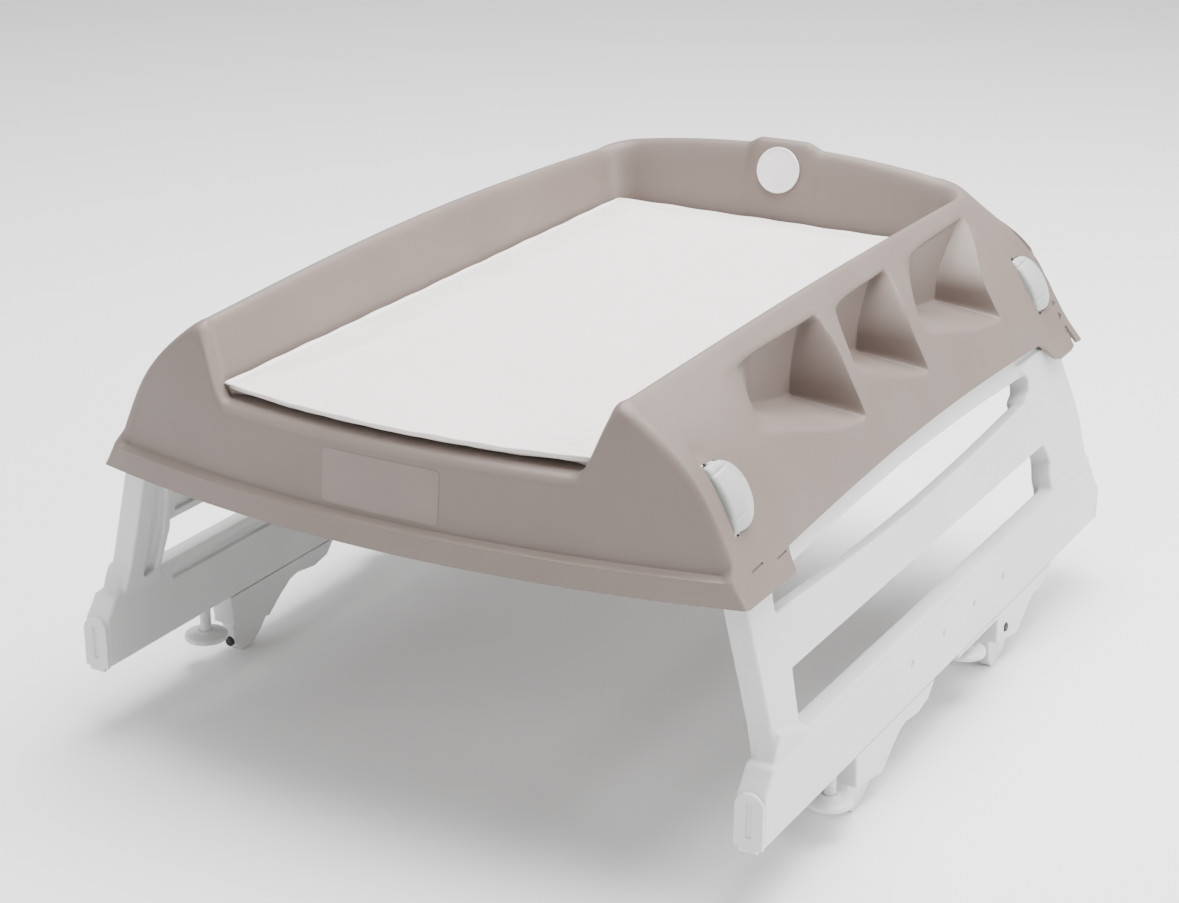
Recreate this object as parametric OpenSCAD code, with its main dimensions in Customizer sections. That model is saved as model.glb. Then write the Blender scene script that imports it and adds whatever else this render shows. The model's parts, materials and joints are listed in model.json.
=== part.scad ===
// Folding changing top: a moulded tray on two splayed leg frames that fold in under it.
// Right is +X, the low front lip faces -Y, and the rails' hooks reach down to Z = 0.

/* [Tray shell] */
// Half width of the shell at its lower corners
shell_hw = 347; // [340:1:352]
// Half width at the crest of the side walls
crest_hw = 224; // [220:1:228]
// Height of the shell's rim above the rails' underside
rim_z = 214; // [210:1:218]
// Height of the side walls' crest above the rails' underside
crest_z = 378; // [370:1:384]
// Height of the deck under the mat
deck_z = 310; // [306:1:312]
// Half width of the flat deck
deck_hw = 199; // [192:1:204]
// Height of the back wall at its middle
back_z = 402; // [394:1:408]
// Wall thickness of the moulding
shell_t = 3; // [2:0.5:3.5]
// How far the front wall bows forward at its middle
front_bow = 47; // [30:1:50]
// Distance from the rails' front ends back to the shell's front corners
front_y = 17; // [14:1:20]
// Distance from the rails' front ends back to the shell's rear rim
rear_y = 856; // [852:1:858]

/* [Storage pockets] */
// Distance of a pocket's back from the middle plane
pocket_x = 236; // [232:1:240]
// Height at which the pockets' mouths end
pocket_top_z = 367; // [364:1:370]

/* [Mat] */
// Thickness of the mat
mat_t = 19; // [15:1:22]
// Half width of the mat
mat_hw = 196; // [188:1:197]
// Where the mat ends behind the rails' front ends
mat_rear_y = 768; // [760:1:770]

/* [Leg frames] */
// Distance of a rail's centre line from the middle plane
rail_x = 360; // [358:1:362]
// Overall length of a rail with its end caps
rail_l = 868; // [866:1:872]
// Width of a rail
rail_w = 28; // [27:1:29]
// Height of a rail's upper edge
rail_h = 77; // [72:1:80]
// Thickness of the legs
leg_t = 24; // [22:1:24]
// Thickness of the brace and the upper web
web_t = 14; // [10:1:16]
// Distance of a fold axis from the middle plane
fold_x = 316; // [316:1:317]
// Height of a fold axis above the rails' underside
fold_z = 240; // [239:1:241]
// Radius of the hinge bar along a frame's top
bar_r = 8; // [7:0.5:8]
// Radius of the hinge pins
pin_r = 4; // [3.5:0.5:4.5]

/* [Hooks and feet] */
// How far the hooks reach below the rails
hook_drop = 69; // [66:1:70]
// Distance of the front hooks' claws behind the rails' front ends
front_hook_y = 200; // [196:1:202]
// Distance of the rear hooks' claws behind the rails' front ends
rear_hook_y = 560; // [556:1:564]
// Pitch of the index holes along a rail
index_pitch = 80; // [70:1:80]
// Radius of the foot discs
foot_r = 23; // [20:1:24]

/* [Release buttons] */
// Radius of a button's round side
button_r = 32; // [30:1:32]
// Width of a button from its flat side to its round side
button_w = 43; // [40:1:43]
// Travel of a button
button_travel = 6; // [4:1:6]

/* [Hidden] */
mould = "#b0a49e";
ivory = "#e8e2e0";
frost = "#dcdcdc";
knob_grey = "#bec3c0";
ink = "#323232";
steel = "#b4b6b8";

overall_front = front_y - front_bow;
mid_y = (overall_front + rail_l) / 2;
chan_w = 20.4;
tongue_w = 19.6;
gap = 0.3;
cap_t = 4;
// Depth of the flat pad under a rail, ahead of its hook
pad_t = 0.5;
fold_tilt = atan((rail_x - fold_x) / (fold_z - 60));
leg_front_y = 36;
leg_rear_y = 815;
front_foot_y = 172;
rear_foot_y = 500;
ear_t = 6.5;
front_ear_y = 31;
stud_depth = 4.5;
front_button_y = 46.5;
rear_button_y = 786;
button_base = -8;
spring_h = 7.3;
// Face of the plate that a button's spring bears on, below the panel
seat_z = button_base - gap - spring_h - button_travel - 0.4;

// Rings of the shell, as fractions of the local height, and the heights of the front bead
up = [0, 0.07, 0.14, 0.25, 0.315, 0.39, 0.47, 0.54, 0.61, 0.685, 0.74, 0.81, 0.88, 0.94, 1];
bead = [0, 12, 22, 26];
// Inner rings, from the crest to the deck: [fraction down, fraction in]
down = [[0.08, 0.3], [0.35, 0.5], [0.7, 0.76], [0.93, 0.92], [1, 1]];
rings = len(up) + len(down);
// Stations along a side, then along the front and the back as fractions of the half width
side_y = [45, 92, 110, 113, 119, 142, 190, 240, 290, 325, 343, 352, 366, 400, 440, 480,
    508, 515, 524, 541, 600, 650, 700, 735, 744, 753];
// The last side stations run from here to the start of a rear corner
tail_y = 753;
tail_u = [0.36, 1];
front_u = [0, 0.25, 0.5, 0.7, 0.8, 0.86, 0.92, 0.97, 1];
back_u = [0.95, 0.85, 0.7, 0.5, 0.3, 0.2, 0.1, 0];
turn = [30, 60];
half = len(front_u) + len(turn) + len(side_y) + len(tail_u) + len(turn) + 1 + len(back_u);
around = 2 * half - 2;
side_from = len(front_u) + len(turn);
hole_rings = [4, 9];
hole_stations = [side_from, side_from + len(side_y)];
// Pockets in each side panel: [front end, rear end, floor at the front, floor at the rear]
pockets = [[142, 352, 322, 286], [366, 524, 318, 285], [541, 753, 310, 281]];
// How far the stations lean forward, down the pockets' rear ends
lean_y = 60;

function mix(a, b, t) = a + (b - a) * t;
function unit(v) = v / norm(v);
function ease(a, b, v) = let(t = max(0, min(1, (v - a) / (b - a)))) t * t * (3 - 2 * t);
function swell(y) = sin(180 * max(0, min(1, (y - 40) / 740)));
function crest(y) = crest_z + 9 * swell(y);
function skirt(y) = rim_z + 20 * ease(112, 118.5, y) * ease(775, 749, y)
    + 9 * sin(180 * max(0, min(1, (y - 119) / 631)));

// Side panel: its half width at a height, bulged, and dented by the pockets
function bulge(y) = mix(22, 10, max(0, min(1, (y - 60) / 740)));
function panel_x(y, z) = let(t = max(0, min(1, (z - rim_z) / (crest(y) - rim_z))))
    mix(shell_hw, crest_hw + 7 * swell(y), t) + bulge(y) * sin(180 * pow(t, 1.5));
function in_pocket(p, y, z) = ease(p[0], mix(p[0], p[1], 0.5), y) * ease(p[1], p[1] - 9, y)
    * ease(0, 13, z - mix(p[2], p[3], ease(p[0], p[1], y)) + 6) * ease(pocket_top_z, pocket_top_z - 8, z);
function dent(y, z) = max([for (p = pockets) in_pocket(p, y, z)]);
function panel_point(y, z) = [panel_x(y, z), y, z];
function leant(s, v) = s - lean_y * max(0, (s - 142) / 611) * ease(786, 753, s) * ease(1, 0.45, v) * ease(0, 0.3, v);
function side_point(s, k) = let(y = leant(s, up[k]), z = height(k, y), x = panel_x(y, z))
    [x - max(0, x - pocket_x) * dent(s, z), y, z];

// Front face: the outline of its top, and how far back the face lies at a height
function front_top(x) = mix(deck_z, crest(50), ease(186, 222, x));
function front_z(k, x) = k < 4 ? rim_z + bead[k]
    : mix(rim_z + bead[3], front_top(x), (up[k] - up[3]) / (1 - up[3]));
function lip(h) = 12 - sqrt(144 - pow(max(0, min(12, 12 - h)), 2));
function face_y(x, z) = front_y - front_bow * (1 - pow(x / shell_hw, 2)) + (z < rim_z + 23 ? (z - rim_z) / 12
    : 11 + 0.1 * (z - rim_z - 26) + lip(front_top(x) - z));

// Back wall: its lower and upper edges, with the rounded boss for the badge
function boss(x) = ease(48, 28, x);
function back_low(x) = rim_z - 1 + 39 * ease(325, 290, x);
function back_top(x) = back_z - 22 * pow(x / crest_hw, 2) + 8 * boss(x);
function back_y(z) = rear_y - 46 * (z - rim_z) / (back_z - rim_z);
function rear_r(z) = mix(8, 40, ease(310, crest_z, z));

// Heights of the outer rings, which dip a little at the rear buttons
function height(k, y) = mix(skirt(y), crest(y), up[k] - 0.06 * sin(180 * up[k]) * ease(700, 780, y));
function turned(x, y, r, a, s) = [x - r + r * cos(a), y - s * (r - r * sin(a))];

// Outer ring k, from the middle of the front round the right side to the middle of the back
function outer_half(k) = let(z0 = height(k, 64), x0 = panel_x(64, z0), xc = x0 - 8,
        yf = face_y(xc, front_z(k, xc)), zr = height(k, 800),
        r = rear_r(zr), xr = panel_x(800, zr), yr = back_y(zr), xb = xr - r)
    concat([for (u = front_u) [u * xc, face_y(u * xc, front_z(k, u * xc)), front_z(k, u * xc)]],
        [for (a = turn) let(q = turned(x0, yf, 8, 90 - a, -1)) [q[0], q[1], mix(front_z(k, xc), z0, a / 90)]],
        [for (s = side_y) side_point(s, k)],
        [for (t = tail_u) let(y = mix(tail_y, yr - r, t)) panel_point(y, height(k, y))],
        [for (a = concat(turn, [90])) let(q = turned(xr, yr, r, a, 1), zb = mix(back_low(xb), back_top(xb), up[k]))
            [q[0], q[1], mix(zr, zb, a / 90)]],
        [for (u = back_u) let(x = u * xb, z = mix(back_low(x), back_top(x), up[k]))
            [x, back_y(min(z, back_z)), z]]);

// Inner ring m, from the crest down to the deck
function inner_half(m) = let(d = down[m][0], n = down[m][1], x0 = mix(crest_hw, deck_hw, n), xc = x0 - 8,
        yt = face_y(xc, front_top(xc)) + 10 * n, r = mix(40, 20, n), yr = mix(back_y(back_z), 774, n), xb = x0 - r)
    concat([for (u = front_u) let(x = u * xc) [x, face_y(x, front_top(x)) + 10 * n, mix(front_top(x), deck_z, d)]],
        [for (a = turn) let(q = turned(x0, yt, 8, 90 - a, -1))
            [q[0], q[1], mix(mix(front_top(xc), crest(64), a / 90), deck_z, d)]],
        [for (y = side_y) [x0 + 7 * swell(y) * (1 - n), y, mix(crest(y), deck_z, d)]],
        [for (t = tail_u) let(y = mix(tail_y, yr - r, t)) [x0, y, mix(crest(y), deck_z, d)]],
        [for (a = concat(turn, [90])) let(q = turned(x0, yr, r, a, 1))
            [q[0], q[1], mix(mix(crest(800), back_top(xb), a / 90), deck_z, d)]],
        [for (u = back_u) let(x = u * xb)
            [x, yr - 6 * boss(x) * (1 - n), mix(back_top(x), deck_z, d)]]);

function whole(h) = concat(h, [for (i = [half - 2 : -1 : 1]) [-h[i][0], h[i][1], h[i][2]]]);

skin = concat([for (k = [0 : len(up) - 1]) whole(outer_half(k))],
    [for (m = [0 : len(down) - 1]) whole(inner_half(m))]);
function normal(k, j) = let(a = skin[k][(j + 1) % around] - skin[k][(j + around - 1) % around],
        b = skin[min(k + 1, rings - 1)][j] - skin[max(k - 1, 0)][j])
    k == rings - 1 ? [0, 0, 1] : unit(cross(a, b));
under = [for (k = [0 : rings - 1]) [for (j = [0 : around - 1]) skin[k][j] - shell_t * normal(k, j)]];

function o(k, j) = k * around + j % around;
function i(k, j) = rings * around + o(k, j);
function quad(a, b, c, d) = [[a, b, c], [a, c, d]];
function mirrored(j) = j < half ? j : around - j;
function in_hole(k, j) = let(a = min(mirrored(j), mirrored((j + 1) % around)))
    k >= hole_rings[0] && k < hole_rings[1] && (a == hole_stations[0] || a == hole_stations[1]);

// The panels' clearance holes for the buttons, walled between the two skins
function hole_wall(j1) = let(k1 = hole_rings[0], k2 = hole_rings[1], j2 = j1 + 1)
    concat(quad(o(k1, j2), o(k1, j1), i(k1, j1), i(k1, j2)), quad(o(k2, j1), o(k2, j2), i(k2, j2), i(k2, j1)),
        [for (k = [k1 : k2 - 1]) each concat(quad(o(k, j1), o(k + 1, j1), i(k + 1, j1), i(k, j1)),
            quad(o(k + 1, j2), o(k, j2), i(k, j2), i(k + 1, j2)))]);

// The flat deck, top and underside: strips from side to side, then a fan across the rear
function deck_faces() = let(k = rings - 1, tail = side_from + len(side_y) + 1, far = around - tail)
    concat([[o(k, 1), o(k, 0), o(k, around - 1)], [i(k, 1), i(k, around - 1), i(k, 0)]],
        [for (j = [1 : tail - 1]) each concat(quad(o(k, j + 1), o(k, j), o(k, around - j), o(k, around - j - 1)),
            quad(i(k, j), i(k, j + 1), i(k, around - j - 1), i(k, around - j)))],
        [for (j = [tail : far - 2]) each [[o(k, far), o(k, j + 1), o(k, j)], [i(k, far), i(k, j), i(k, j + 1)]]]);

module at_rails() { translate([0, -mid_y, hook_drop]) children(); }
module both_sides(side) { mirror([side < 0 ? 1 : 0, 0, 0]) children(); }

module tray_shell() {
    all_k = [0 : rings - 2];
    all_j = [0 : around - 1];
    faces = concat(
        [for (k = all_k) for (j = all_j) if (!in_hole(k, j)) each quad(o(k, j), o(k + 1, j), o(k + 1, j + 1), o(k, j + 1))],
        [for (k = all_k) for (j = all_j) if (!in_hole(k, j)) each quad(i(k, j), i(k, j + 1), i(k + 1, j + 1), i(k + 1, j))],
        [for (j = all_j) each quad(o(0, j), o(0, j + 1), i(0, j + 1), i(0, j))],
        [for (s = hole_stations) each concat(hole_wall(s), hole_wall(around - s - 1))],
        deck_faces());
    color(mould) at_rails()
        polyhedron(points = concat([for (r = skin) each r], [for (r = under) each r]), faces = faces, convexity = 8);
}

module changing_mat() {
    steps = 12;
    corner = 22;
    front = [for (n = [-steps : steps]) let(x = n / steps * (mat_hw - corner))
        [x, 20 - 22 * (1 - pow(x / mat_hw, 2))]];
    rear = [for (c = [[1, 0], [-1, 90]]) for (a = [0 : 30 : 90])
        [c[0] * (mat_hw - corner) + corner * cos(c[1] + a), mat_rear_y - corner + corner * sin(c[1] + a)]];
    color(ivory) at_rails() translate([0, 0, deck_z + gap]) linear_extrude(mat_t)
        polygon(concat(front, [[mat_hw, 20 + corner]], rear, [[-mat_hw, 20 + corner]]));
}

// Round medallion on the boss of the back wall, which leans back
module badge_disc() {
    color("white") at_rails() translate([0, 788.2, 376]) rotate([77.6, 0, 0])
        cylinder(h = 3, r = 26, $fn = 64);
}

// Blank film label that follows the bow and the lean of the front wall
module info_label() {
    steps = 6;
    xs = [for (n = [0 : steps]) mix(-64, 60, n / steps)];
    function bowed(x) = front_bow * pow(x / shell_hw, 2);
    color("#a89c95") at_rails() translate([0, face_y(0, 245) - 0.9, 245]) rotate([-atan(0.1), 0, 0])
        linear_extrude(50) polygon(concat([for (x = xs) [x, bowed(x)]],
            [for (n = [steps : -1 : 0]) [xs[n], bowed(xs[n]) + 0.6]]));
}

// Lattice of ribs screwed under the deck
module deck_ribs() {
    color(mould) at_rails() translate([0, 0, deck_z - shell_t - gap - 24]) {
        linear_extrude(24) difference() {
            translate([-170, 60]) square([340, 680]);
            for (r = [0 : 3], c = [0 : 1])
                translate([-166 + c * 168, 64 + r * 169.5]) square([164, 165.5]);
        }
        for (x = [-168, 0, 168], y = [62, 738])
            translate([x, y, 0]) cylinder(h = 24, r = 6, $fn = 32);
    }
}

// Screws that hold the lattice to the deck from below
module rib_screws() {
    color(steel) at_rails() for (x = [-168, 0, 168], y = [62, 738])
        translate([x, y, deck_z - shell_t - gap - 26.2]) cylinder(h = 2, r = 4, $fn = 32);
}

// Frame in which a panel fitting is drawn: X along the table, Y up the slope, Z out of the panel
module on_panel(y) {
    low = panel_point(y, height(hole_rings[0], y));
    high = panel_point(y, height(hole_rings[1], y));
    slope = atan2(low[0] - high[0], high[2] - low[2]);
    translate(panel_point(y, (low[2] + high[2]) / 2))
        rotate([0, -slope, 0]) rotate([90, 0, 90]) children();
}

module half_moon(r, w, cut) {
    intersection() {
        translate([w - r, 0]) circle(r = r, $fn = 96);
        translate([cut, -r]) square([2 * r, 2 * r]);
    }
}

// Inner face of a side panel, with running room
function under_x(y, z) = panel_x(y, z) - 1.25 * (shell_t + gap) - 1.2;
function strip_up(y, t) = concat([for (z = [252 : 9 : 297]) [under_x(y, z), z]],
    [for (z = [297 : -9 : 252]) [under_x(y, z) - t, z]]);

// Seat of a pin and a button under one corner of the shell: the ear that holds the hinge pin,
// the flange along the panel and the plate behind the button
module corner_bracket(ear_y, flange_y, flange_l, button_y) {
    ear = ear_y < mid_y
        ? concat([[under_x(ear_y, 244), 244]], strip_up(ear_y, 10), [[305, 240]])
        : [[308, 242], [321, 246], [306, 253], [298, 255], [290, 254], [290, 249]];
    difference() {
        union() {
            translate([0, ear_y + ear_t, 0]) rotate([90, 0, 0]) linear_extrude(ear_t) {
                translate([fold_x, fold_z]) circle(r = bar_r + 0.5, $fn = 48);
                polygon(ear);
            }
            translate([0, flange_y + flange_l, 0]) rotate([90, 0, 0]) linear_extrude(flange_l) polygon(strip_up(flange_y, 5));
            on_panel(button_y) translate([-8, -24, seat_z - 3]) cube([56, 48, 3]);
            on_panel(button_y) translate([-8, -24, seat_z - 3]) cube([4, 48, -3.4 - seat_z]);
        }
        translate([fold_x, ear_y - 1, fold_z]) rotate([-90, 0, 0]) cylinder(h = 11, r = pin_r, $fn = 48);
    }
}

module front_bracket(side) {
    color(frost) at_rails() both_sides(side) corner_bracket(front_ear_y, front_ear_y + 0.3, 14.5, front_button_y);
}

module rear_bracket(side) {
    color(frost) at_rails() both_sides(side) corner_bracket(leg_rear_y + 0.5, 747, 34, rear_button_y);
}

module hinge_pin(side, y) {
    color(steel) at_rails() both_sides(side) translate([fold_x, y, fold_z]) rotate([-90, 0, 0])
        cylinder(h = 34, r = pin_r, $fn = 48);
}

module release_button(side, y) {
    color(knob_grey) at_rails() both_sides(side) on_panel(y) {
        intersection() {
            translate([0, 0, button_base]) linear_extrude(20) half_moon(button_r, button_w, 0);
            translate([button_w - button_r, 0, 11 - 78]) sphere(r = 78, $fn = 96);
        }
    }
}

module button_spring(side, y) {
    color(steel) at_rails() both_sides(side) on_panel(y)
        translate([18, 0, button_base - gap - spring_h]) difference() {
        cylinder(h = spring_h, r = 5, $fn = 32);
        translate([0, 0, -1]) cylinder(h = 10, r = 3.6, $fn = 32);
    }
}

// Leg frame: two legs, an arched web under the hinge bar and a curved brace, splayed above a rail
module leaning(t, out) {
    translate([rail_x, 0, 60]) rotate([0, -fold_tilt, 0]) rotate([90, 0, 90])
        translate([0, 0, out - t / 2]) linear_extrude(t) children();
}

lean = cos(fold_tilt);
bar_s = (fold_z - 60) / lean;
function arch(y) = 151 + 10 * sin(180 * max(0, min(1, (y - 110) / 620)));
function brace_top(y) = 126 - 10 * sin(180 * max(0, min(1, (y - 80) / 620)));

module legs_outline() {
    polygon([[leg_front_y, bar_s], [leg_front_y, 40], [leg_front_y - 3, 20], [leg_front_y, 0], [90, -2], [87, 24],
        [93, 68], [84, 120], [84, 140], [92, 160], [112, bar_s]]);
    polygon([[leg_rear_y - 1, bar_s], [leg_rear_y, bar_s - 36], [leg_rear_y + 3, 138], [830, 100], [838, 64],
        [838, 0], [730, 0], [728, 30], [736, 52], [726, 68], [690, 130], [716, 134], [712, 150], [690, bar_s]]);
}

// Narrower tops of the legs, which reach into the hinge bar
module necks_outline() {
    translate([leg_front_y + 3, bar_s - 30]) square([49, 30]);
    translate([leg_rear_y - 105, bar_s - 30]) square([101, 30]);
}

module web_outline() {
    steps = 16;
    ys = [for (n = [0 : steps]) mix(80, 720, n / steps)];
    polygon(concat([for (y = ys) [y, arch(y)]], [[720, bar_s], [80, bar_s]]));
}

module brace_outline() {
    steps = 16;
    ys = [for (n = [0 : steps]) mix(72, 750, n / steps)];
    polygon(concat([for (y = ys) [y, brace_top(y)]], [[750, 70], [72, 70]]));
}

module rail_outline() {
    polygon([[cap_t, 0], [12, 0], [12, -pad_t], [112, -pad_t], [112, 0], [rail_l - cap_t, 0],
        [rail_l - cap_t, 44], [852, 54], [843, 66], [841, 84], [733, 84],
        [722, rail_h], [96, rail_h], [88, 84], [leg_front_y, 96], [31, 84], [20, 68], [cap_t, 53]]);
}

module leg_frame(side) {
    color(frost) at_rails() both_sides(side) difference() {
        union() {
            translate([rail_x - rail_w / 2, 0, 0]) rotate([90, 0, 90]) linear_extrude(rail_w) rail_outline();
            leaning(leg_t, 0) intersection() {
                legs_outline();
                square([rail_l, bar_s - 18]);
            }
            leaning(web_t + 2, 0) necks_outline();
            leaning(web_t, 0) web_outline();
            leaning(web_t, 4.5) brace_outline();
            translate([fold_x, leg_front_y + 2, fold_z]) rotate([-90, 0, 0])
                cylinder(h = leg_rear_y - leg_front_y - 3, r = bar_r, $fn = 48);
        }
        translate([rail_x - chan_w / 2, 120, -1]) cube([chan_w, 730, 37.3]);
        for (y = [cap_t - 1, rail_l - cap_t - 12])
            translate([rail_x - 8, y, 8]) cube([16, 13, 28]);
        for (y = [leg_front_y - 1, leg_rear_y - 25])
            translate([fold_x, y, fold_z]) rotate([-90, 0, 0]) cylinder(h = 30, r = pin_r + 0.05, $fn = 48);
        for (n = [0 : 3])
            translate([rail_x + 8, 327 + n * index_pitch, 42]) rotate([0, 90, 0]) cylinder(h = 8, r = 4, $fn = 32);
    }
}

// Cap of a rail's end, with the upright groove down its face and the tab under it
module end_cap(side, front) {
    y = front ? 0 : rail_l - cap_t;
    color(frost) at_rails() both_sides(side) {
        difference() {
            translate([rail_x, y + cap_t, 0]) rotate([90, 0, 0]) linear_extrude(cap_t) {
                translate([-rail_w / 2, 0]) square([rail_w, front ? 41 : 34]);
                translate([0, front ? 39 : 32]) circle(r = rail_w / 2, $fn = 64);
            }
            translate([rail_x - 3, front ? -1 : rail_l - 1.5, 10]) cube([6, 2.5, 34]);
        }
        translate([rail_x - 7.8, front ? y + cap_t : y - 9, 8.2]) cube([15.6, 9, 27.6]);
        translate([rail_x - 9, y, -4]) cube([18, cap_t, 4]);
    }
}

module claw_outline(y) {
    polygon([[y, 8], [y + 3, -30], [y + 8, -58], [y + 18, -hook_drop], [y + 36, -hook_drop], [y + 50, -60],
        [y + 62, -48], [y + 82, 8]]);
}

module hook_body(y, tail) {
    polygon([[y, -gap], [y + 3, -34], [y + 64, -46], [y + 86, -30], [y + 104, -19], [y + 118, -16],
        [tail - 38, -20], [tail - 14, -15], [tail, -gap]]);
}

module along_rail(w, off) {
    translate([rail_x + off - w / 2, 0, 0]) rotate([90, 0, 90]) linear_extrude(w) children();
}

// Front hook: a tongue fixed in the rail's channel, a body below it and the narrow claw
module front_hook(side) {
    color(frost) at_rails() both_sides(side) difference() {
        union() {
            along_rail(tongue_w, 0) polygon([[130, 2], [385, 2], [385, 34], [130, 34]]);
            along_rail(rail_w - 1, 0) hook_body(front_hook_y, 388);
            along_rail(14, -3) claw_outline(front_hook_y);
            along_rail(tongue_w, 0) polygon([[front_hook_y + 2, -2], [384, -2], [384, 4], [front_hook_y + 2, 4]]);
        }
        translate([rail_x, front_foot_y, 0]) cylinder(h = 40, r = 6.05, $fn = 48);
        translate([rail_x - 3, front_hook_y + stud_depth, -56]) rotate([-90, 0, 0]) {
            cylinder(h = 12, r = 4, $fn = 32);
            cylinder(h = 4, r = 5.5, $fn = 32);
        }
    }
}

// Rear hook: the same body on a tongue that slides along the channel
module rear_hook(side) {
    color(frost) at_rails() both_sides(side) difference() {
        union() {
            along_rail(tongue_w, 0) polygon([[455, 2], [718, 2], [718, 34], [455, 34]]);
            along_rail(rail_w - 1, 0) hook_body(rear_hook_y, 720);
            along_rail(14, -3) claw_outline(rear_hook_y);
            along_rail(rail_w - 1, 0) polygon([[452, -5], [rear_hook_y + 2, -5], [rear_hook_y + 2, -gap], [452, -gap]]);
            along_rail(tongue_w, 0) polygon([[456, -2], [717, -2], [717, 4], [456, 4]]);
        }
        translate([rail_x, rear_foot_y, -10]) cylinder(h = 50, r = 6.05, $fn = 48);
        translate([rail_x + 2, rear_hook_y + 26, -24]) rotate([0, 90, 0]) cylinder(h = 20, r = 5, $fn = 32);
    }
}

// Rubber stud at the foot of a front claw, which bears on whatever the hook holds
module front_stud(side) {
    color(ink) at_rails() both_sides(side) translate([rail_x - 3, front_hook_y + stud_depth, -56]) rotate([-90, 0, 0]) {
        cylinder(h = 12, r = 4, $fn = 32);
        cylinder(h = 4, r = 5.5, $fn = 32);
    }
}

module rear_stud(side) {
    color(ink) at_rails() both_sides(side) translate([rail_x + 2, rear_hook_y + 26, -24]) rotate([0, 90, 0])
        cylinder(h = 13, r = 5, $fn = 32);
}

// Screw of a foot, up through the hook's tongue
module foot_stem(side, y, z) {
    color(frost) at_rails() both_sides(side) translate([rail_x, y, z]) cylinder(h = 44, r = 6, $fn = 48);
}

module foot_disc(side, y, z) {
    color(frost) at_rails() both_sides(side) translate([rail_x, y, z]) difference() {
        union() {
            cylinder(h = 7, r = foot_r, $fn = 96);
            cylinder(h = 10, r = 10, $fn = 48);
        }
        translate([0, 0, 3]) cylinder(h = 10, r = 6.05, $fn = 48);
    }
}

tray_shell();
changing_mat();
badge_disc();
info_label();
deck_ribs();
rib_screws();
front_bracket(1);  // front_bracket_right
front_bracket(-1);  // front_bracket_left
rear_bracket(1);  // rear_bracket_right
rear_bracket(-1);  // rear_bracket_left
hinge_pin(1, front_ear_y);  // front_hinge_pin_right
hinge_pin(-1, front_ear_y);  // front_hinge_pin_left
hinge_pin(1, leg_rear_y - 24.5);  // rear_hinge_pin_right
hinge_pin(-1, leg_rear_y - 24.5);  // rear_hinge_pin_left
release_button(1, front_button_y);  // front_button_right
release_button(-1, front_button_y);  // front_button_left
release_button(1, rear_button_y);  // rear_button_right
release_button(-1, rear_button_y);  // rear_button_left
button_spring(1, front_button_y);  // front_spring_right
button_spring(-1, front_button_y);  // front_spring_left
button_spring(1, rear_button_y);  // rear_spring_right
button_spring(-1, rear_button_y);  // rear_spring_left
leg_frame(1);  // leg_frame_right
leg_frame(-1);  // leg_frame_left
end_cap(1, true);  // front_cap_right
end_cap(-1, true);  // front_cap_left
end_cap(1, false);  // rear_cap_right
end_cap(-1, false);  // rear_cap_left
front_hook(1);  // front_hook_right
front_hook(-1);  // front_hook_left
rear_hook(1);  // rear_hook_right
rear_hook(-1);  // rear_hook_left
front_stud(1);  // front_stud_right
front_stud(-1);  // front_stud_left
rear_stud(1);  // rear_stud_right
rear_stud(-1);  // rear_stud_left
foot_stem(1, front_foot_y, -35);  // front_foot_stem_right
foot_stem(-1, front_foot_y, -35);  // front_foot_stem_left
foot_stem(1, rear_foot_y, -19);  // rear_foot_stem_right
foot_stem(-1, rear_foot_y, -19);  // rear_foot_stem_left
foot_disc(1, front_foot_y, -38);  // front_foot_disc_right
foot_disc(-1, front_foot_y, -38);  // front_foot_disc_left
foot_disc(1, rear_foot_y, -22);  // rear_foot_disc_right
foot_disc(-1, rear_foot_y, -22);  // rear_foot_disc_left
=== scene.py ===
"""Changing top with folding leg frames: meshes, materials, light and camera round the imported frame."""
import json
import math

import bmesh
import bpy
import numpy as np
from mathutils import Matrix, Vector


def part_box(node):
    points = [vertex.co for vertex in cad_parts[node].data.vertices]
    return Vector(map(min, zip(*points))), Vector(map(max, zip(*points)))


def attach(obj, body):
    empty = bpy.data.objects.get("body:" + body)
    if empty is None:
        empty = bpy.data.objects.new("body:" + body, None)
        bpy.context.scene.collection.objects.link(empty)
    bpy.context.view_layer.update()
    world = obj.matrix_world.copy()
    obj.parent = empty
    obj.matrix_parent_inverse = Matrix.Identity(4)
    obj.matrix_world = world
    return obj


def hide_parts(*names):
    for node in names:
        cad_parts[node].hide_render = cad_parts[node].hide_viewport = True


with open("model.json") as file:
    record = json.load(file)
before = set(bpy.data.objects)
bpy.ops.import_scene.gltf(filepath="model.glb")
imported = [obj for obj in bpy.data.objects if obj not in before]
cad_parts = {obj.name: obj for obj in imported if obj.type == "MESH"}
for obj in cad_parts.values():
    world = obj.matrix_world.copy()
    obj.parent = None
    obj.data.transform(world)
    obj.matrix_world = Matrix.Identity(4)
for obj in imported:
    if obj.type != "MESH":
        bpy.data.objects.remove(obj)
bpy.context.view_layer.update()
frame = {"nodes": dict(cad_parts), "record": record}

MM = 0.001
SIDES = (("right", 1), ("left", -1))
ENDS = ("front", "rear")

# The table's own millimetre frame: X from its middle plane, Y from the rails' front ends,
# Z from the rails' underside
RAIL_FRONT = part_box("front_cap_right")[0].y
RAIL_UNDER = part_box("leg_frame_right")[0].z + 0.5 * MM


def placed(points):
    """Millimetre points of the table's frame, in the model's metres."""
    p = np.asarray(points, float).reshape(-1, 3) * MM
    return p + np.array([0, RAIL_FRONT, RAIL_UNDER])


def ease(a, b, v):
    t = np.clip((v - a) / (b - a), 0, 1)
    return t * t * (3 - 2 * t)


def mix(a, b, t):
    return a + (b - a) * t


# ---------------------------------------------------------------- materials


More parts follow.
